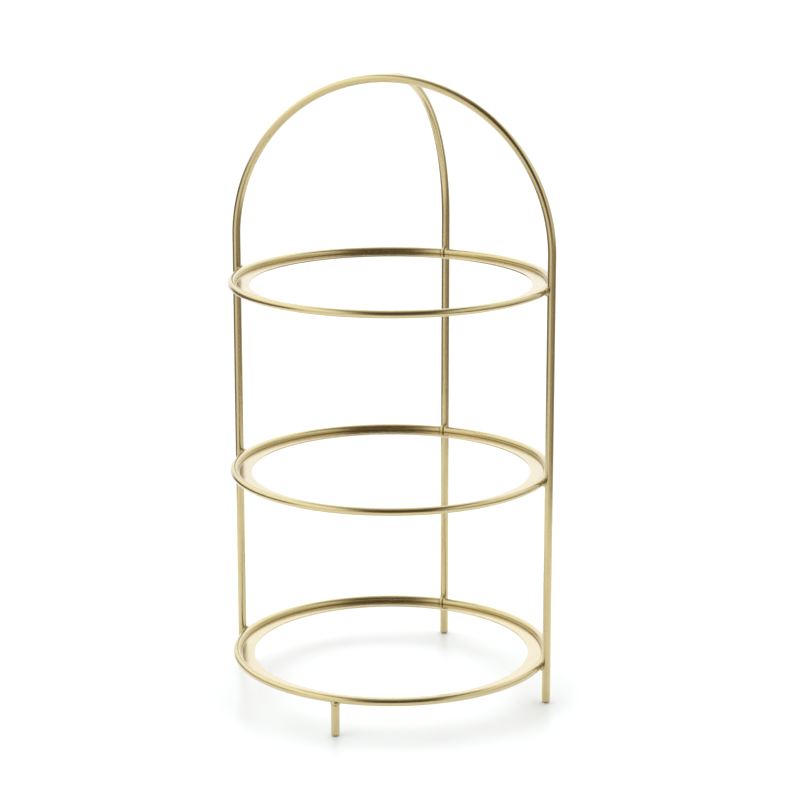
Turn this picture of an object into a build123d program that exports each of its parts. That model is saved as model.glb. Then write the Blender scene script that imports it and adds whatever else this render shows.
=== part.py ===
"""Three-tier wire stand for cake plates.

One wire bent into a hoop makes two legs and the arched top. A rear upright curves over to meet the
top of the hoop, and a short pin under the lowest rim is the fourth foot. Three round rims, each with
a flat ledge for a plate, are welded inside the legs. Nothing moves: every joint is a weld.

+Z is up and +Y is the back. The origin is on the floor, in the middle of the stand's outline.
"""
from build123d import *

import os
from math import pi, sqrt

os.makedirs("parts", exist_ok=True)

# Uprights
leg_wire_d = 6.0         # hoop, rear upright and front foot
leg_circle_r = 118.0     # middle of the tiers to the middle of a leg
arch_spring_h = 324.5    # floor to the top of the straight legs
foot_edge_r = 1.8        # rounding of a wire's end where it stands

# Tiers
rim_wire_d = 5.5
first_tier_h = 27.0      # floor to the middle of the lowest rim's wire
tier_pitch = 136.5
ledge_inner_r = 99.5
ledge_t = 1.2
ledge_underside = 2.4    # middle of the rim's wire down to the underside of its ledge

# Welds
wire_gap = 0.15          # left between two wires, filled by their weld
bead_reach = 3.5         # a leg weld's reach along both wires
bead_depth = 2.5         # and its reach into the gap between them
butt_weld_l = 3.0        # along the rim
butt_weld_proud = 0.3    # above the wire's surface
butt_weld_offset = 0.5   # rear upright's middle to the butt weld's middle, along the rim
end_bead_depth = 2.2     # of the welds around a wire's end, each way along it
foot_bead_proud = 0.8    # of the front foot's weld, beyond the wire's side
foot_bead_drop = 0.3     # end of the front foot down to the middle of its weld
apex_bead_proud = 0.3    # of the weld at the hoop's top, dressed nearly flush
tack_l = 6.0             # tacks under a ledge, along the rim
tack_r = 0.9
tacks_per_tier = 6
first_tack_angle = 15.0  # clear of the legs and the front foot

# Worked out from the sizes above
leg_r = leg_wire_d / 2
rim_wire_r = rim_wire_d / 2
rim_r = leg_circle_r - leg_r - wire_gap - rim_wire_r    # middle of the tiers to the middle of a rim's wire
axis_y = -(leg_wire_d + wire_gap) / 2                   # the tiers' axis, so that the outline is centred
apex_h = arch_spring_h + leg_circle_r
contact_r = rim_r + rim_wire_r + wire_gap / 2           # where a rim and a leg come nearest

floor = Plane((0, axis_y, 0))
hoop_plane = Plane((0, axis_y, 0), x_dir=(1, 0, 0), z_dir=(0, -1, 0))
rear_plane = Plane((0, axis_y, 0), x_dir=(0, 1, 0), z_dir=(1, 0, 0))
tier_axis = Axis((0, axis_y, 0), (0, 0, 1))

tier_heights = {
    "lower": first_tier_h,
    "middle": first_tier_h + tier_pitch,
    "upper": first_tier_h + 2 * tier_pitch,
}
leg_angles = {"right": 0, "rear": 90, "left": 180}      # about the tiers' axis, from +X


def radial_plane(angle, height=0.0):
    """Upright plane through the tiers' axis: X points outwards, Y up, from a height above the floor."""
    outwards = Vector(1, 0, 0).rotate(Axis.Z, angle)
    return Plane((0, axis_y, height), x_dir=outwards, z_dir=outwards.cross(Vector(0, 0, 1)))


def lens_section(depth, reach, distance=0.0):
    """Half of a weld bead's lens, on the sketch's X axis: depth along that axis and reach across it."""
    with Locations((distance, 0)):
        Ellipse(depth, reach)
    split(bisect_by=Plane.XZ)


def arc_degrees(length):
    """Angle about the tiers' axis that a length along a rim's wire covers."""
    return length / rim_r * 180 / pi


# Main hoop: left leg, arch and right leg in one bent wire
with BuildPart() as main_hoop:
    with BuildLine(hoop_plane) as hoop_path:
        left_leg = Line((-leg_circle_r, 0), (-leg_circle_r, arch_spring_h))
        arch = TangentArc(left_leg @ 1, (leg_circle_r, arch_spring_h), tangent=left_leg % 1)
        Line(arch @ 1, (leg_circle_r, 0))
    with BuildSketch(floor):
        with Locations((-leg_circle_r, 0)):
            Circle(leg_r)
    sweep(path=hoop_path.line)
    fillet(main_hoop.edges().group_by(Axis.Z)[0], foot_edge_r)
main_hoop.part.label = "main_hoop"

# Rear upright: a straight leg and a quarter arc that ends square against the back of the hoop's top
arc_end = leg_r + wire_gap
with BuildPart() as rear_upright:
    with BuildLine(rear_plane) as rear_path:
        rear_leg = Line((leg_circle_r, 0), (leg_circle_r, arch_spring_h))
        JernArc(rear_leg @ 1, rear_leg % 1, leg_circle_r, 90)
    with BuildSketch(floor):
        with Locations((0, leg_circle_r)):
            Circle(leg_r)
    sweep(path=rear_path.line)
    split(bisect_by=Plane.XZ.offset(-axis_y - arc_end), keep=Keep.BOTTOM)
    fillet(rear_upright.edges().group_by(Axis.Z)[0], foot_edge_r)
rear_upright.part.label = "rear_upright"

# Front foot: a pin under the lowest rim's wire
foot_top = first_tier_h - rim_wire_r - wire_gap
with BuildPart() as front_foot:
    with BuildSketch(floor):
        with Locations((0, -rim_r)):
            Circle(leg_r)
    extrude(amount=foot_top)
    fillet(front_foot.edges().group_by(Axis.Z)[0], foot_edge_r)
front_foot.part.label = "front_foot"

wires = {"left": main_hoop.part, "right": main_hoop.part, "rear": rear_upright.part}
pieces = [main_hoop.part, rear_upright.part, front_foot.part]

for tier, height in tier_heights.items():
    # The rim's ends meet at the rear upright, a little towards the right leg
    seam_angle = leg_angles["rear"] - arc_degrees(butt_weld_offset)
    seam_span = arc_degrees(butt_weld_l)
    with BuildPart() as rim_wire:
        with BuildSketch(radial_plane(seam_angle + seam_span / 2, height)):
            with Locations((rim_r, 0)):
                Circle(rim_wire_r)
        revolve(axis=tier_axis, revolution_arc=360 - seam_span)
    rim_wire.part.label = f"{tier}_rim_wire"

    with BuildPart() as butt_weld:
        with BuildSketch(radial_plane(seam_angle - seam_span / 2, height)):
            with Locations((rim_r, 0)):
                Circle(rim_wire_r + butt_weld_proud)
        revolve(axis=tier_axis, revolution_arc=seam_span)
        add(rear_upright.part, mode=Mode.SUBTRACT)
    butt_weld.part.label = f"{tier}_rim_butt_weld"

    # Flat ring set low inside the wire, its outer edge shaped to the wire
    with BuildPart() as ledge:
        with BuildSketch(radial_plane(0, height)):
            with Locations((ledge_inner_r, -ledge_underside)):
                Rectangle(rim_r - ledge_inner_r, ledge_t, align=(Align.MIN, Align.MIN))
            with Locations((rim_r, 0)):
                Circle(rim_wire_r, mode=Mode.SUBTRACT)
        revolve(axis=tier_axis)
        add(butt_weld.part, mode=Mode.SUBTRACT)
    ledge.part.label = f"{tier}_ledge"

    # Tacks in the corner between the ledge's underside and the wire
    tack_r_from_axis = rim_r - sqrt(rim_wire_r**2 - ledge_underside**2)
    with BuildPart() as tacks:
        for tack in range(tacks_per_tier):
            tack_angle = first_tack_angle + tack * 360 / tacks_per_tier
            with BuildSketch(radial_plane(tack_angle, height)):
                with Locations((tack_r_from_axis, -ledge_underside)):
                    Circle(tack_r)
            revolve(axis=tier_axis, revolution_arc=arc_degrees(tack_l))
        add(ledge.part, mode=Mode.SUBTRACT)
        add(rim_wire.part, mode=Mode.SUBTRACT)
    tacks.part.label = f"{tier}_ledge_tack_welds"
    pieces += [rim_wire.part, butt_weld.part, ledge.part, tacks.part]

    # A bead in the gap between the rim and each leg, as wide as it is tall
    for leg, angle in leg_angles.items():
        across = radial_plane(angle, height)
        with BuildPart() as bead:
            with BuildSketch(across):
                lens_section(bead_depth, bead_reach, contact_r)
            revolve(axis=Axis(across.origin, across.x_dir))
            for neighbour in (wires[leg], rim_wire.part, butt_weld.part, ledge.part):
                add(neighbour, mode=Mode.SUBTRACT)
        bead.part.label = f"{tier}_{leg}_leg_weld"
        pieces.append(bead.part)

    if tier == "lower":
        # Collar of weld around the front foot's top, under the rim's wire and the ledge
        collar = Plane((0, axis_y - rim_r, foot_top - foot_bead_drop), x_dir=(0, 0, 1), z_dir=(0, 1, 0))
        with BuildPart() as foot_weld:
            with BuildSketch(collar):
                lens_section(end_bead_depth, leg_r + foot_bead_proud)
            revolve(axis=Axis(collar.origin, collar.x_dir))
            split(bisect_by=Plane.XY.offset(height - ledge_underside), keep=Keep.BOTTOM)
            for neighbour in (front_foot.part, rim_wire.part):
                add(neighbour, mode=Mode.SUBTRACT)
        foot_weld.part.label = "front_foot_weld"
        pieces.append(foot_weld.part)

# Collar of weld where the rear upright's end meets the hoop's top
collar = Plane((0, axis_y + arc_end, apex_h), x_dir=(0, 1, 0), z_dir=(1, 0, 0))
with BuildPart() as apex_weld:
    with BuildSketch(collar):
        lens_section(end_bead_depth, leg_r + apex_bead_proud)
    revolve(axis=Axis(collar.origin, collar.x_dir))
    for neighbour in (main_hoop.part, rear_upright.part):
        add(neighbour, mode=Mode.SUBTRACT)
apex_weld.part.label = "apex_weld"
pieces.append(apex_weld.part)

for piece in pieces:
    export_step(piece, f"parts/{piece.label}.step")
    print(piece.label, round(piece.volume, 1), "mm3")
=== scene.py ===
from math import acos, cos, pi, radians, sin, sqrt

import bmesh
import bpy
from bpy.props import FloatProperty, FloatVectorProperty, IntProperty, PointerProperty
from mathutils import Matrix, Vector


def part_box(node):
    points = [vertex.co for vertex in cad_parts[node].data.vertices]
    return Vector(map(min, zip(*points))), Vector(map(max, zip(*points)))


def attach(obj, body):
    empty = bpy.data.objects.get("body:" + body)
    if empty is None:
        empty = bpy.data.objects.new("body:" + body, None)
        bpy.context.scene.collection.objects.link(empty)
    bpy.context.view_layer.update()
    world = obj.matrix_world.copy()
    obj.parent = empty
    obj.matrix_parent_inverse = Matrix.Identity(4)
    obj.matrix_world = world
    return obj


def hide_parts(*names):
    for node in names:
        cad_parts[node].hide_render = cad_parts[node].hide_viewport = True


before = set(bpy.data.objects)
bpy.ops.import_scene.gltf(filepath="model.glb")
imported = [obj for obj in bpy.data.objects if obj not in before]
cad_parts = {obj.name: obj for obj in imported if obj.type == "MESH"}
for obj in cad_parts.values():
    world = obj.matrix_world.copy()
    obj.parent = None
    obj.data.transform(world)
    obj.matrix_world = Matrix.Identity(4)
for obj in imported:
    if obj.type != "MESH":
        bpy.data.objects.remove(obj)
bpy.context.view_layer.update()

bl_info = {
    "name": "Tiered cake stand",
    "version": (1, 0, 0),
    "blender": (4, 5, 0),
    "location": "3D View > Sidebar > Cake stand",
    "description": "Finishes the wires, rims, ledges and welds of a three-tier cake stand",
    "category": "Object",
}

MM = 0.001

# The stand's own sizes, read from the frame, in metres
TIERS = ("lower", "middle", "upper")
LEG_ANGLES = {"right": 0.0, "rear": pi / 2, "left": pi}      # about the tiers' axis, from +X


def middle(node):
    """Middle of a CAD node's box."""
    low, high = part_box(node)
    return (low + high) / 2


def spread(node):
    """Half of a CAD node's box along each axis."""
    low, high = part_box(node)
    return (high - low) / 2


AXIS = Vector((0, middle("middle_rim_wire").y, 0))            # the tiers' axis, on the floor
SKIN = 0.01 * MM                                              # keeps round wires within the CAD's flat faces
LEG_R = spread("front_foot").x
LEG_CIRCLE_R = spread("main_hoop").x - LEG_R - SKIN
APEX_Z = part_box("main_hoop")[1].z - LEG_R
SPRING_Z = APEX_Z - LEG_CIRCLE_R                              # where the legs turn into the arch
RIM_WIRE_R = spread("middle_rim_wire").z
RIM_R = LEG_CIRCLE_R - LEG_R - RIM_WIRE_R                     # axis to the middle of a rim's wire
TIER_Z = {tier: middle(f"{tier}_rim_wire").z for tier in TIERS}
LEDGE_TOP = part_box("middle_ledge")[1].z - TIER_Z["middle"]    # from the rim wire's middle
LEDGE_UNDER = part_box("middle_ledge")[0].z - TIER_Z["middle"]
LEDGE_INNER_R = min((v.co - AXIS).xy.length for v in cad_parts["middle_ledge"].data.vertices)
REAR_END_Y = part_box("rear_upright")[0].y - AXIS.y             # the rear upright stops here, behind the hoop
FOOT_TOP_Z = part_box("front_foot")[1].z
SEAM = middle("middle_rim_butt_weld") - AXIS
SEAM_ANGLE = Vector((SEAM.x, SEAM.y)).angle_signed(Vector((1, 0)))
SEAM_LENGTH = 2 * spread("middle_rim_butt_weld").x


# ---------------------------------------------------------------- what the panel shows

class StandFinish(bpy.types.PropertyGroup):
    plating: FloatVectorProperty(
        name="Plating", description="Colour of the plated wires", subtype="COLOR",
        size=3, min=0, max=1, default=(0.64, 0.525, 0.27))
    ledge: FloatVectorProperty(
        name="Ledge plating", description="Colour of the plated sheet of the ledges", subtype="COLOR",
        size=3, min=0, max=1, default=(0.70, 0.585, 0.355))
    # Colour of the painted shade on the legs beside the welds and at the feet's tips, and also of the welds'
    # own darker plating
    shade_and_weld_dark: FloatVectorProperty(
        name="Shade", description="Darker plating in recesses, on welds and at the feet's tips",
        subtype="COLOR", size=3, min=0, max=1, default=(0.34, 0.23, 0.10))
    satin: FloatProperty(
        name="Satin", description="Roughness of the plated wire", subtype="FACTOR",
        min=0.02, max=1, default=0.20)
    brushing: FloatProperty(
        name="Brushing", description="Depth of the marks left by drawing and brushing", subtype="FACTOR",
        min=0, max=1, default=0.22)
    lacquer: FloatProperty(
        name="Lacquer", description="Weight of the clear coat over the plating", subtype="FACTOR",
        min=0, max=1, default=0.9)


class StandShape(bpy.types.PropertyGroup):
    foot_rounding: FloatProperty(
        name="Foot rounding", description="Radius of a wire's edge where it stands", unit="LENGTH",
        min=0.0002, max=0.0029, default=1.8 * MM)
    cut_rounding: FloatProperty(
        name="Cut rounding", description="Radius of a wire's edge where it was cut and welded",
        unit="LENGTH", min=0.0001, max=0.002, default=0.4 * MM)
    sheet_rounding: FloatProperty(
        name="Sheet rounding", description="Radius of the ledge's deburred inner edge", unit="LENGTH",
        min=0.0001, max=0.0006, default=0.35 * MM)
    bead_reach: FloatProperty(
        name="Bead reach", description="Reach of a leg weld along both wires", unit="LENGTH",
        min=0.001, max=0.006, default=3.4 * MM)
    bead_depth: FloatProperty(
        name="Bead depth", description="Reach of a leg weld between the wires", unit="LENGTH",
        min=0.001, max=0.005, default=2.5 * MM)
    bead_lumps: FloatProperty(
        name="Bead lumps", description="Height of the lumps and pits on a weld", unit="LENGTH",
        min=0, max=0.001, default=0.35 * MM)
    tacks: IntProperty(
        name="Tacks", description="Tack welds under each ledge", min=1, max=24, default=6)


class StandStudio(bpy.types.PropertyGroup):
    azimuth: FloatProperty(
        name="Camera azimuth", description="Turn of the camera about the stand, from its front",
        subtype="ANGLE", default=radians(20.2))
    turn: FloatProperty(
        name="Camera turn", description="Heading of the camera's view", subtype="ANGLE",
        default=radians(20.0))
    pitch: FloatProperty(
        name="Camera pitch", description="Angle of the view above the horizon", subtype="ANGLE",
        default=radians(-14.14))
    distance: FloatProperty(
        name="Camera distance", description="From the tiers' axis, on the level", unit="LENGTH",
        min=0.5, max=6, default=1.817)
    height: FloatProperty(
        name="Camera height", description="Above the floor", unit="LENGTH", min=0.05, max=3,
        default=0.671)
    lens: FloatProperty(
        name="Lens", description="Focal length of the camera", unit="CAMERA", min=20, max=300,
        default=118.4)
    floor: FloatProperty(
        name="Floor tone", description="Lightness of the floor", subtype="FACTOR", min=0, max=1,
        default=0.9)
    lamp: FloatProperty(
        name="Lamp", description="Strength of the wide soft light from above", min=0, max=10,
        default=1.6)
    table_r: FloatProperty(
        name="Table radius", description="The floor that the plating mirrors ends here", unit="LENGTH",
        min=0.2, max=5, default=0.62)


# ---------------------------------------------------------------- building node trees

def plug(tree, socket, value):
    """Links a socket or a Term to a socket, or sets the socket's own value."""
    if isinstance(value, Term):
        value = value.socket
    if isinstance(value, bpy.types.NodeSocket):
        tree.links.new(value, socket)
    else:
        socket.default_value = value


def add_node(tree, kind, inputs=None, **settings):
    """A new node with its settings and inputs."""
    node = tree.nodes.new(kind)
    for name, value in settings.items():
        setattr(node, name, value)
    for name, value in (inputs or {}).items():
        plug(tree, node.inputs[name], value)
    return node


class Term:
    """A number in a node tree, so that a rule reads as it would on paper."""

    def __init__(self, tree, socket):
        self.tree = tree
        self.socket = socket

    def step(self, operation, *others, swap=False):
        """This number put through a Math node, with the others as its further inputs."""
        values = (*others, self) if swap else (self, *others)
        node = add_node(self.tree, "ShaderNodeMath", operation=operation)
        for socket, value in zip(node.inputs, values):
            plug(self.tree, socket, value)
        return Term(self.tree, node.outputs[0])

    def __add__(self, other):
        return self.step("ADD", other)

    __radd__ = __add__

    def __sub__(self, other):
        return self.step("SUBTRACT", other)

    def __rsub__(self, other):
        return self.step("SUBTRACT", other, swap=True)

    def __mul__(self, other):
        return self.step("MULTIPLY", other)

    __rmul__ = __mul__

    def __truediv__(self, other):
        return self.step("DIVIDE", other)

    def __neg__(self):
        return self.step("MULTIPLY", -1.0)

    def between(self, low, high):
        """Kept from low to high."""
        return self.step("MAXIMUM", low).step("MINIMUM", high)

    def ramp(self, low, high, start=0.0, end=1.0):
        """A soft step from start to end while this number goes from low to high."""
        node = add_node(self.tree, "ShaderNodeMapRange", interpolation_type="SMOOTHSTEP")
        for name, value in (("Value", self), ("From Min", low), ("From Max", high),
                            ("To Min", start), ("To Max", end)):
            plug(self.tree, node.inputs[name], value)
        return Term(self.tree, node.outputs["Result"])


def sine(term):
    return term.step("SINE")


def cosine(term):
    return term.step("COSINE")


def point(tree, x, y, z):
    """Three numbers as one vector."""
    return add_node(tree, "ShaderNodeCombineXYZ", {"X": x, "Y": y, "Z": z}).outputs[0]


def parts_of(tree, vector):
    """A vector's three numbers."""
    return [Term(tree, s) for s in add_node(tree, "ShaderNodeSeparateXYZ", {"Vector": vector}).outputs]


def new_shape(name, inputs):
    """An empty geometry tree with named inputs, and its inputs as Terms or sockets."""
    tree = bpy.data.node_groups.new(name, "GeometryNodeTree")
    for label, kind, default in inputs:
        socket = tree.interface.new_socket(label, in_out="INPUT", socket_type=kind)
        if default is not None:
            socket.default_value = default
    tree.interface.new_socket("Finish", in_out="INPUT", socket_type="NodeSocketMaterial")
    tree.interface.new_socket("Geometry", in_out="OUTPUT", socket_type="NodeSocketGeometry")
    entry = tree.nodes.new("NodeGroupInput")
    given = {
        label: Term(tree, entry.outputs[label]) if kind in ("NodeSocketFloat", "NodeSocketInt")
        else entry.outputs[label]
        for label, kind, _ in inputs
    }
    given["Finish"] = entry.outputs["Finish"]
    return tree, given


def close_shape(tree, geometry, finish):
    """Ends a geometry tree: smooth, realized, with its material."""
    smooth = add_node(tree, "GeometryNodeSetShadeSmooth", {"Geometry": geometry})
    real = add_node(tree, "GeometryNodeRealizeInstances", {"Geometry": smooth.outputs[0]})
    finished = add_node(tree, "GeometryNodeSetMaterial", {"Geometry": real.outputs[0], "Material": finish})
    end = tree.nodes.new("NodeGroupOutput")
    tree.links.new(finished.outputs[0], end.inputs["Geometry"])
    return tree


def keep_unbent(tree, geometry, vector):
    """Stores on each point where it lies on the straight wire or unplaced bead, for the materials."""
    node = add_node(tree, "GeometryNodeStoreNamedAttribute",
                    {"Geometry": geometry, "Name": "unbent"}, data_type="FLOAT_VECTOR", domain="POINT")
    tree.links.new(vector, node.inputs["Value"])
    return node.outputs["Geometry"]


# ---------------------------------------------------------------- shapes that follow a rule

TIP_ROWS = 8             # rows of faces round a wire's end, its flat one included
WIRE_FACES = 40          # round a wire
MERGE_GAP = 0.01 * MM    # points nearer than this are one
LUMP_SCALE = 900.0       # of a seam's lumps, per metre
LUMP_CIRCLE_R = 3 * MM   # they are laid out round a wire of this radius


def wire_rows(tree, length, rounding, row_length, wire_r):
    """A flat grid to wrap round a wire, with a rounded tip at both ends.

    Returns the grid, the distance along the wire, the angle round it and its radius there.
    """
    rows = (length / row_length).step("CEIL") + 2.0 * TIP_ROWS
    grid = add_node(tree, "GeometryNodeMeshGrid",
                    {"Size X": 1.0, "Size Y": 1.0, "Vertices Y": WIRE_FACES + 1})
    plug(tree, grid.inputs["Vertices X"], rows + 1.0)
    x, y, _ = parts_of(tree, add_node(tree, "GeometryNodeInputPosition").outputs[0])
    row = ((x + 0.5) * rows).step("ROUND")
    from_end = row.step("MINIMUM", rows - row)
    tip = ((from_end - 1.0) / (TIP_ROWS - 1.0)).between(0.0, 1.0) * (pi / 2)
    near = rounding * (1.0 - cosine(tip))
    far = 2.0 * rounding - near
    second_half = row.step("GREATER_THAN", rows / 2.0)
    tips = near + (far - near) * second_half
    straight = ((row - TIP_ROWS) / (rows - 2.0 * TIP_ROWS)).between(0.0, 1.0)
    along = tips + straight * (length - 2.0 * rounding)
    radius = (wire_r - rounding + rounding * sine(tip)) * from_end.step("MINIMUM", 1.0)
    return grid.outputs["Mesh"], along, (y + 0.5) * (2 * pi), radius


def wrap_wire(tree, grid, along, turn, radius, centre, outward, sideways):
    """Wraps the grid round its centre line, closes it and keeps each point's place on the straight wire."""
    out = radius * cosine(turn)
    side = radius * sine(turn)
    place = [c + out * o + side * s for c, o, s in zip(centre, outward, sideways)]
    unbent = point(tree, out, side, along)
    kept = keep_unbent(tree, grid, unbent)
    moved = add_node(tree, "GeometryNodeSetPosition", {"Geometry": kept, "Position": point(tree, *place)})
    merged = add_node(tree, "GeometryNodeMergeByDistance",
                      {"Geometry": moved.outputs[0], "Distance": MERGE_GAP})
    return merged.outputs[0]


def upright_tree():
    """A straight leg, an arc in an upright plane and a straight run down again, in one round wire."""
    tree, given = new_shape("upright wire", [
        ("Arc radius", "NodeSocketFloat", 0.1),
        ("Leg height", "NodeSocketFloat", 0.3),
        ("Arc turn", "NodeSocketFloat", pi),
        ("Leg down", "NodeSocketFloat", 0.3),
        ("Heading", "NodeSocketFloat", 0.0),
        ("Axis Y", "NodeSocketFloat", 0.0),
        ("Start radius", "NodeSocketFloat", 0.1),
        ("Wire radius", "NodeSocketFloat", 0.003),
        ("Rounding", "NodeSocketFloat", 0.001),
        ("Row length", "NodeSocketFloat", 0.0018),
    ])
    length = given["Leg height"] + given["Arc radius"] * given["Arc turn"] + given["Leg down"]
    grid, along, turn, radius = wire_rows(
        tree, length, given["Rounding"], given["Row length"], given["Wire radius"])
    divisor = given["Arc radius"].step("MAXIMUM", 0.1 * MM)          # never zero, for a straight pin
    arc = ((along - given["Leg height"]) / divisor).between(0.0, given["Arc turn"])
    up = along.step("MINIMUM", given["Leg height"])
    down = (along - given["Leg height"] - given["Arc radius"] * given["Arc turn"]).step("MAXIMUM", 0.0)
    reach = given["Start radius"] - given["Arc radius"] * (1.0 - cosine(arc))
    east, north = cosine(given["Heading"]), sine(given["Heading"])
    centre = (reach * east, reach * north + given["Axis Y"], up + given["Arc radius"] * sine(arc) - down)
    outward = (cosine(arc) * east, cosine(arc) * north, sine(arc))
    sideways = (-north, east, 0.0)
    shape = wrap_wire(tree, grid, along, turn, radius, centre, outward, sideways)
    return close_shape(tree, shape, given["Finish"])


def ring_tree():
    """A round wire bent along part of a level circle, with an optional swelling and ripples."""
    tree, given = new_shape("ring wire", [
        ("Ring radius", "NodeSocketFloat", 0.1),
        ("Height", "NodeSocketFloat", 0.1),
        ("Axis Y", "NodeSocketFloat", 0.0),
        ("From angle", "NodeSocketFloat", 0.0),
        ("Length", "NodeSocketFloat", 0.6),
        ("Wire radius", "NodeSocketFloat", 0.003),
        ("Rounding", "NodeSocketFloat", 0.0004),
        ("Row length", "NodeSocketFloat", 0.0018),
        ("Swelling", "NodeSocketFloat", 0.0),
        ("Lumps", "NodeSocketFloat", 0.0),
        ("Seed", "NodeSocketFloat", 0.0),
    ])
    grid, along, turn, radius = wire_rows(
        tree, given["Length"], given["Rounding"], given["Row length"], given["Wire radius"])
    share = along / given["Length"]
    swell = sine(share * pi) * given["Swelling"]
    lump = add_node(tree, "ShaderNodeTexNoise", {"Scale": LUMP_SCALE, "Detail": 2.0}, noise_dimensions="4D")
    around = point(tree, cosine(turn) * LUMP_CIRCLE_R, sine(turn) * LUMP_CIRCLE_R, along)
    plug(tree, lump.inputs["Vector"], around)
    plug(tree, lump.inputs["W"], given["Seed"])
    lumps = (Term(tree, lump.outputs["Fac"]) - 0.5) * 2.0 * given["Lumps"]
    solid = (radius / given["Wire radius"]).step("MINIMUM", 1.0)
    swollen = radius + (swell + lumps) * solid
    angle = given["From angle"] + along / given["Ring radius"]
    east, north = cosine(angle), sine(angle)
    centre = (given["Ring radius"] * east, given["Ring radius"] * north + given["Axis Y"], given["Height"])
    shape = wrap_wire(tree, grid, along, turn, swollen, centre, (east, north, 0.0), (0.0, 0.0, 1.0))
    return close_shape(tree, shape, given["Finish"])


def pool_tree():
    """A weld's pool: a lens with lumps, ripples and pits, at a place and with its short axis turned."""
    tree, given = new_shape("weld pool", [
        ("Depth", "NodeSocketFloat", 0.0025),
        ("Reach", "NodeSocketFloat", 0.0035),
        ("Lumps", "NodeSocketFloat", 0.0003),
        ("Ripples", "NodeSocketFloat", 0.0001),
        ("Seed", "NodeSocketFloat", 0.0),
        ("Place", "NodeSocketVector", None),
        ("Turn", "NodeSocketVector", None),
    ])
    ball = add_node(tree, "GeometryNodeMeshIcoSphere", {"Radius": 1.0, "Subdivisions": 5})
    where = add_node(tree, "GeometryNodeInputPosition").outputs[0]
    x, y, z = parts_of(tree, where)
    noise = add_node(tree, "ShaderNodeTexNoise", {"Scale": 1.7, "Detail": 3.0}, noise_dimensions="4D")
    plug(tree, noise.inputs["Vector"], where)
    plug(tree, noise.inputs["W"], given["Seed"])
    lumps = (Term(tree, noise.outputs["Fac"]) - 0.5) * 2.0 * given["Lumps"]
    pits = add_node(tree, "ShaderNodeTexVoronoi", {"Scale": 2.2}, voronoi_dimensions="4D")
    plug(tree, pits.inputs["Vector"], where)
    plug(tree, pits.inputs["W"], given["Seed"])
    pit = Term(tree, pits.outputs["Distance"]).ramp(0.10, 0.22, -1.0, 0.0) * given["Lumps"]
    ripples = sine(y * 16.0 + z * 3.0) * given["Ripples"]
    swell = lumps + pit * 0.6 + ripples
    depth, reach = given["Depth"] + swell, given["Reach"] + swell
    shaped = point(tree, x * depth, y * reach, z * reach)
    kept = keep_unbent(tree, ball.outputs["Mesh"], shaped)
    lens = add_node(tree, "GeometryNodeSetPosition", {"Geometry": kept, "Position": shaped})
    placed = add_node(tree, "GeometryNodeTransform",
                      {"Geometry": lens.outputs[0], "Translation": given["Place"], "Rotation": given["Turn"]})
    return close_shape(tree, placed.outputs[0], given["Finish"])


def tack_tree():
    """A circle of like tacks, each a small long lens laid along the circle, with its own size."""
    tree, given = new_shape("tack row", [
        ("Circle radius", "NodeSocketFloat", 0.11),
        ("Height", "NodeSocketFloat", 0.1),
        ("Axis Y", "NodeSocketFloat", 0.0),
        ("First angle", "NodeSocketFloat", 0.0),
        ("Tacks", "NodeSocketInt", 6),
        ("Tack length", "NodeSocketFloat", 0.006),
        ("Tack radius", "NodeSocketFloat", 0.0009),
        ("Seed", "NodeSocketInt", 1),
    ])
    circle = add_node(tree, "GeometryNodeMeshCircle", fill_type="NONE")
    plug(tree, circle.inputs["Radius"], given["Circle radius"])
    plug(tree, circle.inputs["Vertices"], given["Tacks"])
    turned = add_node(tree, "GeometryNodeTransform", {
        "Geometry": circle.outputs["Mesh"],
        "Translation": point(tree, 0.0, given["Axis Y"], given["Height"]),
        "Rotation": point(tree, 0.0, 0.0, given["First angle"]),
    })
    blob = add_node(tree, "GeometryNodeMeshIcoSphere", {"Radius": 1.0, "Subdivisions": 4})
    where = add_node(tree, "GeometryNodeInputPosition").outputs[0]
    x, y, z = parts_of(tree, where)
    noise = add_node(tree, "ShaderNodeTexNoise", {"Vector": where, "Scale": 1.6, "Detail": 2.0})
    rough = 0.85 + Term(tree, noise.outputs["Fac"]) * 0.3
    shaped = point(tree, x * rough * given["Tack radius"], y * rough * given["Tack length"] / 2.0,
                   z * rough * given["Tack radius"])
    kept = keep_unbent(tree, blob.outputs["Mesh"], shaped)
    tack = add_node(tree, "GeometryNodeSetPosition", {"Geometry": kept, "Position": shaped})
    index = Term(tree, add_node(tree, "GeometryNodeInputIndex").outputs[0])
    angle = given["First angle"] + index * (2 * pi) / given["Tacks"]
    size = add_node(tree, "FunctionNodeRandomValue", {"Min": 0.85, "Max": 1.0}, data_type="FLOAT")
    plug(tree, size.inputs["Seed"], given["Seed"])
    spread_out = add_node(tree, "GeometryNodeInstanceOnPoints", {
        "Points": turned.outputs[0],
        "Instance": tack.outputs[0],
        "Rotation": point(tree, 0.0, 0.0, angle),
        "Scale": size.outputs["Value"],
    })
    return close_shape(tree, spread_out.outputs[0], given["Finish"])


def grow(name, tree, finish, **sizes):
    """Runs a geometry tree and keeps its result as a plain mesh piece, its faces outwards."""
    piece = bpy.data.objects.new(name, bpy.data.meshes.new(name))
    bpy.context.scene.collection.objects.link(piece)
    maker = piece.modifiers.new("shape", "NODES")
    maker.node_group = tree
    values = {label.replace("_", " "): value for label, value in sizes.items()}
    values["finish"] = finish
    for item in tree.interface.items_tree:
        if item.in_out == "INPUT" and item.name.lower() in values:
            maker[item.identifier] = values.pop(item.name.lower())
    if values:
        raise RuntimeError(f"{tree.name} has no input named {sorted(values)}")
    graph = bpy.context.evaluated_depsgraph_get()
    made = bpy.data.meshes.new_from_object(
        piece.evaluated_get(graph), preserve_all_data_layers=True, depsgraph=graph)
    piece.modifiers.remove(maker)
    if not made.polygons:
        raise RuntimeError(f"{name} came out empty")
    piece.data = made
    made.name = name
    face_outwards(made)
    return piece


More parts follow.
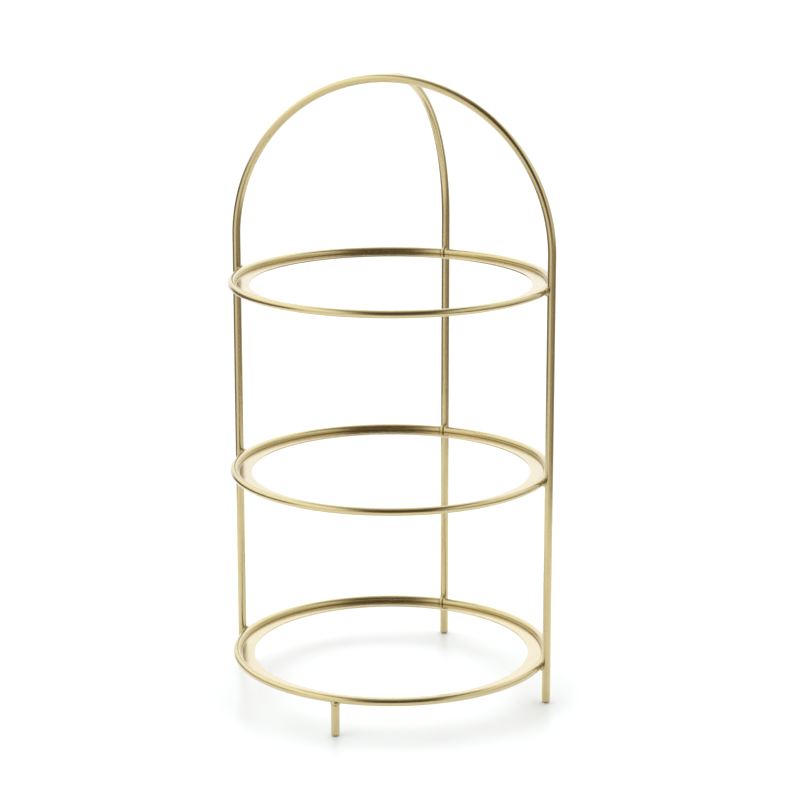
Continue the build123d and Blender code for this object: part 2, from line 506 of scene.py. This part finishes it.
def face_outwards(mesh):
    """Turns a closed mesh's faces outwards."""
    work = bmesh.new()
    work.from_mesh(mesh)
    if work.calc_volume(signed=True) < 0:
        bmesh.ops.reverse_faces(work, faces=work.faces)
        work.to_mesh(mesh)
    work.free()


def stands_for(piece, slot, *nodes):
    """Puts a finished piece in the place of its CAD nodes."""
    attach(piece, "root")
    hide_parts(*nodes)
    return piece


def lathe(name, section, height, steps, finish):
    """Turns a closed section of (distance from the axis, height) points about the tiers' axis."""
    mesh = bpy.data.meshes.new(name)
    work = bmesh.new()
    unbent = work.verts.layers.float_vector.new("unbent")
    mean_r = sum(r for r, _ in section) / len(section)
    rings = []
    for i in range(steps):
        angle = 2 * pi * i / steps
        ring = []
        for r, z in section:
            vert = work.verts.new((r * cos(angle), r * sin(angle) + AXIS.y, height + z))
            vert[unbent] = (r - mean_r, z, angle * mean_r)
            ring.append(vert)
        rings.append(ring)
    for i in range(steps):
        here, there = rings[i], rings[(i + 1) % steps]
        for j in range(len(section)):
            k = (j + 1) % len(section)
            work.faces.new((here[j], there[j], there[k], here[k])).smooth = True
    work.to_mesh(mesh)
    work.free()
    mesh.materials.append(finish)
    face_outwards(mesh)
    piece = bpy.data.objects.new(name, mesh)
    bpy.context.scene.collection.objects.link(piece)
    return piece


# ---------------------------------------------------------------- finishes

# Texture scales, per metre
FINE_MARKS = 5200.0
COARSE_MARKS = 1300.0
CLOUDS = 45.0
SPECKS = 1600.0

# Colour: how much of another colour each effect brings in
CLOUD_WARMTH = 0.22      # of the warmer plating, in broad clouds
MARK_DARKNESS = 0.14     # of the darker plating, in the marks
WELD_PAINTED_SHADE = 0.10        # of the shade colour, as painted shade on the legs beside the welds
TIP_PAINTED_SHADE = 0.70         # of the shade colour, as painted shade at the feet's tips
WARMER = (1.0, 0.93, 0.80)
DARKER = 0.78
# How far the painted shade reaches from the welds and from the floor
WELD_PAINTED_SHADE_REACH = 7 * MM
TIP_PAINTED_SHADE_REACH = 2.2 * MM

# Roughness: what each effect adds
MARK_ROUGHNESS = 0.07
CLOUD_ROUGHNESS = 0.05
SPECK_ROUGHNESS = 0.12
# added where shade is painted beside the welds and at the feet's tips
PAINTED_SHADE_ROUGHNESS = 0.15

LACQUER_ROUGHNESS = 0.14
MARK_HEIGHT = 0.06 * MM


def new_effect(name, inputs, outputs):
    """An empty shader group with named inputs and outputs, its inputs and its output node."""
    tree = bpy.data.node_groups.new(name, "ShaderNodeTree")
    for label, kind, default in inputs:
        socket = tree.interface.new_socket(label, in_out="INPUT", socket_type=kind)
        if default is not None:
            socket.default_value = default
    for label, kind in outputs:
        tree.interface.new_socket(label, in_out="OUTPUT", socket_type=kind)
    entry = tree.nodes.new("NodeGroupInput")
    given = {
        label: Term(tree, entry.outputs[label]) if kind == "NodeSocketFloat" else entry.outputs[label]
        for label, kind, _ in inputs
    }
    return tree, given, tree.nodes.new("NodeGroupOutput")


def drawn_metal_effect():
    """Fine marks along the wire, broad cloudy variation and specks, from a wire's straightened place."""
    tree, given, end = new_effect("drawn metal", [
        ("Unbent", "NodeSocketVector", None),
        ("Depth", "NodeSocketFloat", 0.3),
        ("Stretch", "NodeSocketFloat", 0.04),
    ], [("Marks", "NodeSocketFloat"), ("Cloud", "NodeSocketFloat"), ("Specks", "NodeSocketFloat")])
    x, y, z = parts_of(tree, given["Unbent"])
    drawn = point(tree, x, y, z * given["Stretch"])
    fine = add_node(tree, "ShaderNodeTexNoise",
                    {"Vector": drawn, "Scale": FINE_MARKS, "Detail": 4.0, "Roughness": 0.6})
    coarse = add_node(tree, "ShaderNodeTexNoise", {"Vector": drawn, "Scale": COARSE_MARKS, "Detail": 2.0})
    cloud = add_node(tree, "ShaderNodeTexNoise", {"Vector": given["Unbent"], "Scale": CLOUDS, "Detail": 3.0})
    specks = add_node(tree, "ShaderNodeTexNoise", {"Vector": given["Unbent"], "Scale": SPECKS, "Detail": 2.0})
    marks = (Term(tree, fine.outputs["Fac"]) * 0.6 + Term(tree, coarse.outputs["Fac"]) * 0.4) * given["Depth"]
    plug(tree, end.inputs["Marks"], marks)
    plug(tree, end.inputs["Cloud"], Term(tree, cloud.outputs["Fac"]).ramp(0.3, 0.7))
    plug(tree, end.inputs["Specks"], Term(tree, specks.outputs["Fac"]).ramp(0.68, 0.76))
    return tree


def painted_shade_effect():
    """Masks for painted shade: how near a point is to a tier's welds, by its height, and how near to the
    floor.
    """
    tree, given, end = new_effect("weld and tip painted shade", [
        ("Place", "NodeSocketVector", None),
        ("Reach", "NodeSocketFloat", 0.008),
    ], [("Tint", "NodeSocketFloat"), ("Tip", "NodeSocketFloat")])
    _, _, z = parts_of(tree, given["Place"])
    nearest = (z - TIER_Z["lower"]).step("ABSOLUTE")
    for tier in ("middle", "upper"):
        nearest = nearest.step("MINIMUM", (z - TIER_Z[tier]).step("ABSOLUTE"))
    # Painted shade on the legs where the rims cross them, and painted shade at the feet's tips
    plug(tree, end.inputs["Tint"], 1.0 - nearest.ramp(RIM_WIRE_R, RIM_WIRE_R + given["Reach"]))
    plug(tree, end.inputs["Tip"], 1.0 - z.ramp(0.0, TIP_PAINTED_SHADE_REACH))
    return tree


def effect(tree, group, inputs):
    """One use of a shader group in a material."""
    node = tree.nodes.new("ShaderNodeGroup")
    node.node_tree = group
    for name, value in inputs.items():
        plug(tree, node.inputs[name], value)
    return node


def blend_colour(tree, share, start, end):
    """Two colours mixed by a share."""
    node = add_node(tree, "ShaderNodeMix", data_type="RGBA")
    plug(tree, node.inputs[0], share)
    plug(tree, node.inputs[6], start)
    plug(tree, node.inputs[7], end)
    return node.outputs[2]


def plated(name, colour, shade_and_weld_dark, roughness, brushing, lacquer, stretch, takes_painted_shade=0.0, dull=0.0, turned=0.0,
           gloss=1.5):
    """Plated and lacquered metal with drawn or brushed marks.

    stretch is the marks' width over their length. tinted is 1 where painted shade darkens it on the legs
    beside the welds and at the feet's tips, and dull is the shade colour's share all over, for the welds' own
    darker plating. turned is how far the marks of turning spread its gloss, and gloss is the lacquer's index
    of refraction.
    """
    material = bpy.data.materials.new(name)
    material.use_nodes = True
    tree = material.node_tree
    surface = tree.nodes["Principled BSDF"]
    unbent = add_node(tree, "ShaderNodeAttribute", attribute_name="unbent").outputs["Vector"]
    place = add_node(tree, "ShaderNodeTexCoord").outputs["Object"]
    marks = effect(tree, bpy.data.node_groups["drawn metal"],
                   {"Unbent": unbent, "Depth": 1.0, "Stretch": stretch})
    tint = effect(tree, bpy.data.node_groups["weld and tip painted shade"], {"Place": place, "Reach": WELD_PAINTED_SHADE_REACH})
    cloud = Term(tree, marks.outputs["Cloud"])
    grain = Term(tree, marks.outputs["Marks"])
    warmer = [c * w for c, w in zip(colour, WARMER)]
    darker = [c * DARKER for c in colour]
    warm = blend_colour(tree, cloud * CLOUD_WARMTH, (*colour, 1), (*warmer, 1))
    lined = blend_colour(tree, grain.ramp(0.35, 0.75) * MARK_DARKNESS, warm, (*darker, 1))
    # Painted shade: the plating darkened on the legs beside the welds and at the feet's tips
    shade_beside_welds = Term(tree, tint.outputs["Tint"]) * WELD_PAINTED_SHADE
    shade_at_tips = Term(tree, tint.outputs["Tip"]) * TIP_PAINTED_SHADE
    painted_shade = (shade_beside_welds + shade_at_tips) * takes_painted_shade
    # Mixes in the shade colour: painted shade from the masks above, and the welds' own darker plating from
    # dull
    shaded_and_dulled = blend_colour(tree, (painted_shade + dull).between(0.0, 1.0), lined, (*shade_and_weld_dark, 1))
    plug(tree, surface.inputs["Base Color"], shaded_and_dulled)
    surface.inputs["Metallic"].default_value = 1.0
    specks = Term(tree, marks.outputs["Specks"])
    rough = roughness + (grain - 0.5) * MARK_ROUGHNESS + cloud * CLOUD_ROUGHNESS + specks * SPECK_ROUGHNESS
    plug(tree, surface.inputs["Roughness"], rough + painted_shade * PAINTED_SHADE_ROUGHNESS)
    surface.inputs["Anisotropic"].default_value = turned
    if turned:
        x, y, _ = parts_of(tree, place)
        plug(tree, surface.inputs["Tangent"], point(tree, AXIS.y - y, x, 0.0))
    surface.inputs["Coat Weight"].default_value = lacquer
    surface.inputs["Coat Roughness"].default_value = LACQUER_ROUGHNESS
    surface.inputs["Coat IOR"].default_value = gloss
    bump = add_node(tree, "ShaderNodeBump", {"Strength": brushing, "Distance": MARK_HEIGHT})
    plug(tree, bump.inputs["Height"], grain)
    plug(tree, surface.inputs["Normal"], bump.outputs["Normal"])
    return material


def finish_named(name):
    """A finish, made the first time it is asked for."""
    if name in bpy.data.materials:
        return bpy.data.materials[name]
    if "drawn metal" not in bpy.data.node_groups:
        drawn_metal_effect()
        painted_shade_effect()
    chosen = bpy.context.scene.stand_finish
    plating, ledge, shade_and_weld_dark = tuple(chosen.plating), tuple(chosen.ledge), tuple(chosen.shade_and_weld_dark)
    satin, brushing, lacquer = chosen.satin, chosen.brushing, chosen.lacquer
    if name == "plated wire":
        # the wires take painted shade beside the welds and at the feet's tips
        return plated(name, plating, shade_and_weld_dark, satin, brushing, lacquer, stretch=0.04, takes_painted_shade=1.0)
    if name == "plated rim":
        return plated(name, plating, shade_and_weld_dark, satin, brushing, lacquer, stretch=0.04)
    if name == "brushed ledge":
        return plated(name, ledge, shade_and_weld_dark, satin + 0.02, brushing, lacquer=1.0, stretch=0.02, turned=0.4,
                      gloss=1.8)
    if name == "plated weld":
        return plated(name, plating, shade_and_weld_dark, satin + 0.10, brushing, lacquer, stretch=1.0, dull=0.06)
    raise RuntimeError(f"there is no finish named {name}")


# ---------------------------------------------------------------- one operator for each group of like pieces

def shape_named(name, maker):
    """A geometry tree, made the first time it is asked for."""
    return bpy.data.node_groups.get(name) or maker()


class STAND_OT_hoop(bpy.types.Operator):
    """Bend the main hoop: the left leg, the arch and the right leg in one wire"""
    bl_idname = "cake_stand.hoop"
    bl_label = "Main hoop"
    bl_options = {"REGISTER", "UNDO"}

    def execute(self, context):
        shape = context.scene.stand_shape
        piece = grow("hoop", shape_named("upright wire", upright_tree), finish_named("plated wire"),
                     arc_radius=LEG_CIRCLE_R, leg_height=SPRING_Z, arc_turn=pi, leg_down=SPRING_Z,
                     heading=pi, axis_y=AXIS.y, start_radius=LEG_CIRCLE_R, wire_radius=LEG_R,
                     rounding=shape.foot_rounding)
        stands_for(piece, "upright_wire", "main_hoop")
        return {"FINISHED"}


class STAND_OT_rear(bpy.types.Operator):
    """Bend the rear upright, whose arc ends against the back of the hoop's top"""
    bl_idname = "cake_stand.rear"
    bl_label = "Rear upright"
    bl_options = {"REGISTER", "UNDO"}

    def execute(self, context):
        shape = context.scene.stand_shape
        piece = grow("rear_wire", shape_named("upright wire", upright_tree), finish_named("plated wire"),
                     arc_radius=LEG_CIRCLE_R, leg_height=SPRING_Z, arc_turn=acos(REAR_END_Y / LEG_CIRCLE_R),
                     leg_down=0.0, heading=LEG_ANGLES["rear"], axis_y=AXIS.y,
                     start_radius=LEG_CIRCLE_R, wire_radius=LEG_R, rounding=shape.foot_rounding)
        stands_for(piece, "upright_wire", "rear_upright")
        return {"FINISHED"}


class STAND_OT_foot(bpy.types.Operator):
    """Cut the front foot, the pin under the lowest rim"""
    bl_idname = "cake_stand.foot"
    bl_label = "Front foot"
    bl_options = {"REGISTER", "UNDO"}

    def execute(self, context):
        shape = context.scene.stand_shape
        piece = grow("foot_pin", shape_named("upright wire", upright_tree), finish_named("plated wire"),
                     arc_radius=0.0, leg_height=FOOT_TOP_Z, arc_turn=0.0, leg_down=0.0, heading=-pi / 2,
                     axis_y=AXIS.y, start_radius=RIM_R, wire_radius=LEG_R, rounding=shape.foot_rounding,
                     row_length=0.6 * MM)
        stands_for(piece, "upright_wire", "front_foot")
        return {"FINISHED"}


class STAND_OT_rims(bpy.types.Operator):
    """Bend the three rims, each an open ring whose ends meet at its seam"""
    bl_idname = "cake_stand.rims"
    bl_label = "Rims"
    bl_options = {"REGISTER", "UNDO"}

    def execute(self, context):
        shape = context.scene.stand_shape
        gap = 0.9 * SEAM_LENGTH             # the wire's ends reach a little into the seam's weld
        for tier in TIERS:
            piece = grow(f"{tier}_rim", shape_named("ring wire", ring_tree), finish_named("plated rim"),
                         ring_radius=RIM_R, height=TIER_Z[tier], axis_y=AXIS.y,
                         from_angle=SEAM_ANGLE + gap / 2 / RIM_R, length=2 * pi * RIM_R - gap,
                         wire_radius=RIM_WIRE_R, rounding=shape.cut_rounding)
            stands_for(piece, "rim_wire", f"{tier}_rim_wire")
        return {"FINISHED"}


class STAND_OT_seams(bpy.types.Operator):
    """Fill the seam of each rim with its butt weld"""
    bl_idname = "cake_stand.seams"
    bl_label = "Rim seams"
    bl_options = {"REGISTER", "UNDO"}

    def execute(self, context):
        for number, tier in enumerate(TIERS):
            piece = grow(f"{tier}_seam", shape_named("ring wire", ring_tree), finish_named("plated weld"),
                         ring_radius=RIM_R, height=TIER_Z[tier], axis_y=AXIS.y,
                         from_angle=SEAM_ANGLE - SEAM_LENGTH / 2 / RIM_R, length=SEAM_LENGTH,
                         wire_radius=RIM_WIRE_R, rounding=0.3 * MM, row_length=0.12 * MM,
                         swelling=0.3 * MM, lumps=0.12 * MM, seed=float(number))
            stands_for(piece, "weld", f"{tier}_rim_butt_weld")
        return {"FINISHED"}


class STAND_OT_ledges(bpy.types.Operator):
    """Turn the three ledges, flat rings of sheet whose outer edge sits in the rim's wire"""
    bl_idname = "cake_stand.ledges"
    bl_label = "Ledges"
    bl_options = {"REGISTER", "UNDO"}

    def execute(self, context):
        shape = context.scene.stand_shape
        rounding = shape.sheet_rounding
        corner_steps = 5
        flat_steps = 8
        steps = 288                         # about the tiers' axis
        tuck = 0.2 * MM                     # of the outer edge into the rim's wire
        outer_top = RIM_R - sqrt(RIM_WIRE_R**2 - LEDGE_TOP**2) + tuck
        outer_under = RIM_R - sqrt(RIM_WIRE_R**2 - LEDGE_UNDER**2) + tuck
        flat_start = LEDGE_INNER_R + rounding
        section = []
        for corner_z, start in ((LEDGE_UNDER + rounding, 1.5 * pi), (LEDGE_TOP - rounding, pi)):
            for i in range(corner_steps + 1):
                angle = start - (pi / 2) * i / corner_steps
                section.append((flat_start + rounding * cos(angle), corner_z + rounding * sin(angle)))
        shares = [(i / flat_steps) ** 1.5 for i in range(1, flat_steps + 1)]        # closer near the edge
        section += [(flat_start + (outer_top - flat_start) * s, LEDGE_TOP) for s in shares]
        section += [(flat_start + (outer_under - flat_start) * s, LEDGE_UNDER) for s in reversed(shares)]
        for tier in TIERS:
            piece = lathe(f"{tier}_plate_ledge", section, TIER_Z[tier], steps, finish_named("brushed ledge"))
            stands_for(piece, "ledge_sheet", f"{tier}_ledge")
        return {"FINISHED"}


class STAND_OT_leg_welds(bpy.types.Operator):
    """Weld each rim to each leg"""
    bl_idname = "cake_stand.leg_welds"
    bl_label = "Leg welds"
    bl_options = {"REGISTER", "UNDO"}

    def execute(self, context):
        shape = context.scene.stand_shape
        contact_r = RIM_R + RIM_WIRE_R
        for row, tier in enumerate(TIERS):
            for column, (leg, angle) in enumerate(LEG_ANGLES.items()):
                piece = grow(f"{tier}_{leg}_bead", shape_named("weld pool", pool_tree),
                             finish_named("plated weld"), depth=shape.bead_depth, reach=shape.bead_reach,
                             lumps=shape.bead_lumps, ripples=0.08 * MM, seed=3.0 * row + column + 1.0,
                             place=(contact_r * cos(angle), contact_r * sin(angle) + AXIS.y, TIER_Z[tier]),
                             turn=(0.0, 0.0, angle))
                stands_for(piece, "weld", f"{tier}_{leg}_leg_weld")
        return {"FINISHED"}


class STAND_OT_end_welds(bpy.types.Operator):
    """Weld the rear upright's end to the hoop and the front foot to the lowest rim"""
    bl_idname = "cake_stand.end_welds"
    bl_label = "End welds"
    bl_options = {"REGISTER", "UNDO"}

    def execute(self, context):
        shape = context.scene.stand_shape
        inset = 0.25 * MM                   # leaves room for the lumps
        apex_z = middle("apex_weld").z
        foot_y = middle("front_foot_weld").y
        spots = (
            ("apex_bead", "apex_weld", (0.0, REAR_END_Y + AXIS.y, apex_z), (0.0, 0.0, pi / 2)),
            ("foot_bead", "front_foot_weld", (0.0, foot_y, FOOT_TOP_Z), (0.0, pi / 2, 0.0)),
        )
        for number, (name, node, place, turn) in enumerate(spots):
            piece = grow(name, shape_named("weld pool", pool_tree), finish_named("plated weld"),
                         depth=2.2 * MM, reach=spread(node).x - inset, lumps=shape.bead_lumps * 0.8,
                         ripples=0.06 * MM, seed=20.0 + number, place=place, turn=turn)
            stands_for(piece, "weld", node)
        return {"FINISHED"}


class STAND_OT_tacks(bpy.types.Operator):
    """Tack each ledge to its rim from below"""
    bl_idname = "cake_stand.tacks"
    bl_label = "Ledge tacks"
    bl_options = {"REGISTER", "UNDO"}

    def execute(self, context):
        shape = context.scene.stand_shape
        corner_r = RIM_R - sqrt(RIM_WIRE_R**2 - LEDGE_UNDER**2)
        length = 6 * MM
        first = radians(15)
        for number, tier in enumerate(TIERS):
            piece = grow(f"{tier}_tacks", shape_named("tack row", tack_tree), finish_named("plated weld"),
                         circle_radius=corner_r, height=TIER_Z[tier] + LEDGE_UNDER, axis_y=AXIS.y,
                         first_angle=first + length / 2 / corner_r, tacks=shape.tacks,
                         tack_length=length, tack_radius=0.85 * MM, seed=number + 1)
            stands_for(piece, "weld", f"{tier}_ledge_tack_welds")
        return {"FINISHED"}


class STAND_OT_stage(bpy.types.Operator):
    """Set the floor, the light and the camera"""
    bl_idname = "cake_stand.stage"
    bl_label = "Stage"
    bl_options = {"REGISTER", "UNDO"}

    def execute(self, context):
        studio = context.scene.stand_studio
        set_floor(studio)
        set_light(studio)
        set_camera(studio)
        return {"FINISHED"}


FLOOR_R = 30.0
FLOOR_STEPS = 96
FLOOR_GRAIN = 0.004                         # the most that its tone strays
FLOOR_TINT = (0.98, 0.99, 1.02)


def set_floor(studio):
    """A pale table under the stand, which the plating mirrors, and the same surface carried on past it."""
    material = bpy.data.materials.new("pale floor")
    material.use_nodes = True
    tree = material.node_tree
    surface = tree.nodes["Principled BSDF"]
    place = add_node(tree, "ShaderNodeTexCoord").outputs["Object"]
    grain = add_node(tree, "ShaderNodeTexNoise", {"Vector": place, "Scale": 18.0, "Detail": 3.0})
    tone = Term(tree, grain.outputs["Fac"]).ramp(
        0.3, 0.7, studio.floor - FLOOR_GRAIN, studio.floor + FLOOR_GRAIN)
    plug(tree, surface.inputs["Base Color"], point(tree, *[tone * share for share in FLOOR_TINT]))
    surface.inputs["Roughness"].default_value = 0.28
    surface.inputs["Specular IOR Level"].default_value = 0.15
    for name, inner, outer in (("table", 0.0, studio.table_r), ("floor", studio.table_r, FLOOR_R)):
        mesh = bpy.data.meshes.new(name)
        work = bmesh.new()
        angles = [2 * pi * i / FLOOR_STEPS for i in range(FLOOR_STEPS)]
        circles = [[work.verts.new((radius * cos(a), radius * sin(a), 0)) for a in angles]
                   for radius in (inner, outer) if radius]
        if len(circles) == 1:
            work.faces.new(circles[0])
        else:
            near, far = circles
            for i in range(FLOOR_STEPS):
                j = (i + 1) % FLOOR_STEPS
                work.faces.new((near[i], far[i], far[j], near[j]))
        work.to_mesh(mesh)
        work.free()
        mesh.materials.append(material)
        piece = bpy.data.objects.new(name, mesh)
        bpy.context.scene.collection.objects.link(piece)
        if name == "floor":
            piece.visible_glossy = False


LAMP_SPREAD = radians(140)
LAMP_LEAN = radians(-18)                    # from overhead towards the backdrop

# Brightness of the room that the plating mirrors, where 1 is white
BACKDROP = 1.08                             # behind the stand, just above the horizon
BACKDROP_RISE = 0.30                        # added higher up
BACKDROP_SIDE_LOSS = 0.35                   # taken off at the right
CANOPY = 0.10                               # a dark cloth above the camera
CANOPY_OPENING = 0.35                       # how far it opens straight overhead
LEFT_PANEL_LOSS = 0.95                      # a low dark panel at the left, above the horizon
BELOW = 0.95                                # below the horizon
BELOW_FRONT_LOSS = 0.50
BELOW_LEFT_LOSS = 0.72
BELOW_RIGHT_LOSS = 0.20
WARM_DARK = (1.0, 0.84, 0.66, 1)            # colour of the room where it is dark
WHITE = (1.0, 1.0, 1.0, 1)
COOL_WHITE = (0.95, 1.02, 1.03, 1)          # colour of the bright room, high up


def panel(bearing, opens, full, fades, ends):
    """1 over a range of bearings, in degrees, with soft edges."""
    rise = bearing.ramp(radians(opens), radians(full))
    return rise * (1.0 - bearing.ramp(radians(fades), radians(ends)))


def set_light(studio):
    """A wide soft light from above, and a room with dark walls on the camera's side, as metal needs."""
    lamp = bpy.data.lights.new("soft_light", "SUN")
    lamp.energy = studio.lamp
    lamp.angle = LAMP_SPREAD
    sun = bpy.data.objects.new("soft_light", lamp)
    sun.rotation_euler = (LAMP_LEAN, 0, studio.azimuth)
    sun.visible_glossy = False
    bpy.context.scene.collection.objects.link(sun)
    world = bpy.data.worlds.new("studio")
    bpy.context.scene.world = world
    world.use_nodes = True
    tree = world.node_tree
    background = tree.nodes["Background"]
    x, y, z = parts_of(tree, add_node(tree, "ShaderNodeTexCoord").outputs["Generated"])
    east, north = sin(studio.azimuth), cos(studio.azimuth)
    front = x * east - y * north            # 1 towards the camera
    right = x * north + y * east            # 1 to the camera's right
    bearing = right.step("ARCTAN2", front)  # 0 towards the camera, positive to its right
    backdrop = BACKDROP + z.ramp(0.22, 0.50) * BACKDROP_RISE - right.ramp(0.50, 0.90) * BACKDROP_SIDE_LOSS
    canopy = (front + z * 0.5).ramp(0.0, 0.28) * (1.0 - right.ramp(0.45, 0.75)) * right.ramp(-0.62, -0.25)
    canopy = canopy * (1.0 - z.ramp(0.85, 1.0) * CANOPY_OPENING)
    left_panel = panel(bearing, -155, -140, -80, -62)
    right_panel = panel(bearing, 30, 60, 95, 125)
    front_panel = panel(bearing, -22, -4, 100, 150)
    upper = backdrop - canopy * (backdrop - CANOPY)
    upper = upper - left_panel * (1.0 - z.ramp(0.06, 0.22)) * LEFT_PANEL_LOSS
    lower = BELOW - front_panel * BELOW_FRONT_LOSS - left_panel * BELOW_LEFT_LOSS
    lower = lower - right_panel * BELOW_RIGHT_LOSS
    room = lower + (upper - lower) * z.ramp(-0.12, -0.02)
    seen = Term(tree, add_node(tree, "ShaderNodeLightPath").outputs["Is Camera Ray"])
    bright = blend_colour(tree, z.ramp(0.2, 0.6), WHITE, COOL_WHITE)
    tint = blend_colour(tree, room.ramp(0.15, 0.9), WARM_DARK, bright)
    plug(tree, background.inputs["Color"], blend_colour(tree, seen, tint, WHITE))
    plug(tree, background.inputs["Strength"], room + (1.0 - room) * seen)
    bpy.context.scene.view_settings.view_transform = "Standard"


def set_camera(studio):
    """The camera, by its place round the stand and its heading."""
    lens = bpy.data.cameras.new("camera")
    lens.lens = studio.lens
    lens.sensor_width = 36
    lens.clip_end = 100
    camera = bpy.data.objects.new("camera", lens)
    camera.location = (
        AXIS.x + studio.distance * sin(studio.azimuth),
        AXIS.y - studio.distance * cos(studio.azimuth),
        studio.height,
    )
    camera.rotation_euler = (pi / 2 + studio.pitch, 0, studio.turn)
    bpy.context.scene.collection.objects.link(camera)
    bpy.context.scene.camera = camera


class STAND_PT_panel(bpy.types.Panel):
    """The stand's sizes, finish and pieces"""
    bl_idname = "STAND_PT_panel"
    bl_label = "Cake stand"
    bl_space_type = "VIEW_3D"
    bl_region_type = "UI"
    bl_category = "Cake stand"

    def draw(self, context):
        for title, group in (("Finish", context.scene.stand_finish), ("Shape", context.scene.stand_shape),
                             ("Studio", context.scene.stand_studio)):
            box = self.layout.box()
            box.label(text=title)
            for name in group.__annotations__:
                box.prop(group, name)
        column = self.layout.column(align=True)
        for operator in OPERATORS:
            column.operator(operator.bl_idname)


GROUPS = {"stand_finish": StandFinish, "stand_shape": StandShape, "stand_studio": StandStudio}
OPERATORS = (
    STAND_OT_stage, STAND_OT_hoop, STAND_OT_rear, STAND_OT_foot, STAND_OT_rims, STAND_OT_seams,
    STAND_OT_ledges, STAND_OT_leg_welds, STAND_OT_end_welds, STAND_OT_tacks,
)


def register():
    for group in GROUPS.values():
        bpy.utils.register_class(group)
    for name, group in GROUPS.items():
        setattr(bpy.types.Scene, name, PointerProperty(type=group))
    for operator in OPERATORS:
        bpy.utils.register_class(operator)
    bpy.utils.register_class(STAND_PT_panel)


def unregister():
    bpy.utils.unregister_class(STAND_PT_panel)
    for operator in reversed(OPERATORS):
        bpy.utils.unregister_class(operator)
    for name, group in GROUPS.items():
        delattr(bpy.types.Scene, name)
        bpy.utils.unregister_class(group)


def main():
    """Makes the whole scene."""
    register()
    bpy.ops.cake_stand.stage()
    bpy.ops.cake_stand.hoop()
    bpy.ops.cake_stand.rear()
    bpy.ops.cake_stand.foot()
    bpy.ops.cake_stand.rims()
    bpy.ops.cake_stand.seams()
    bpy.ops.cake_stand.ledges()
    bpy.ops.cake_stand.leg_welds()
    bpy.ops.cake_stand.end_welds()
    bpy.ops.cake_stand.tacks()


if __name__ == "__main__":
    main()
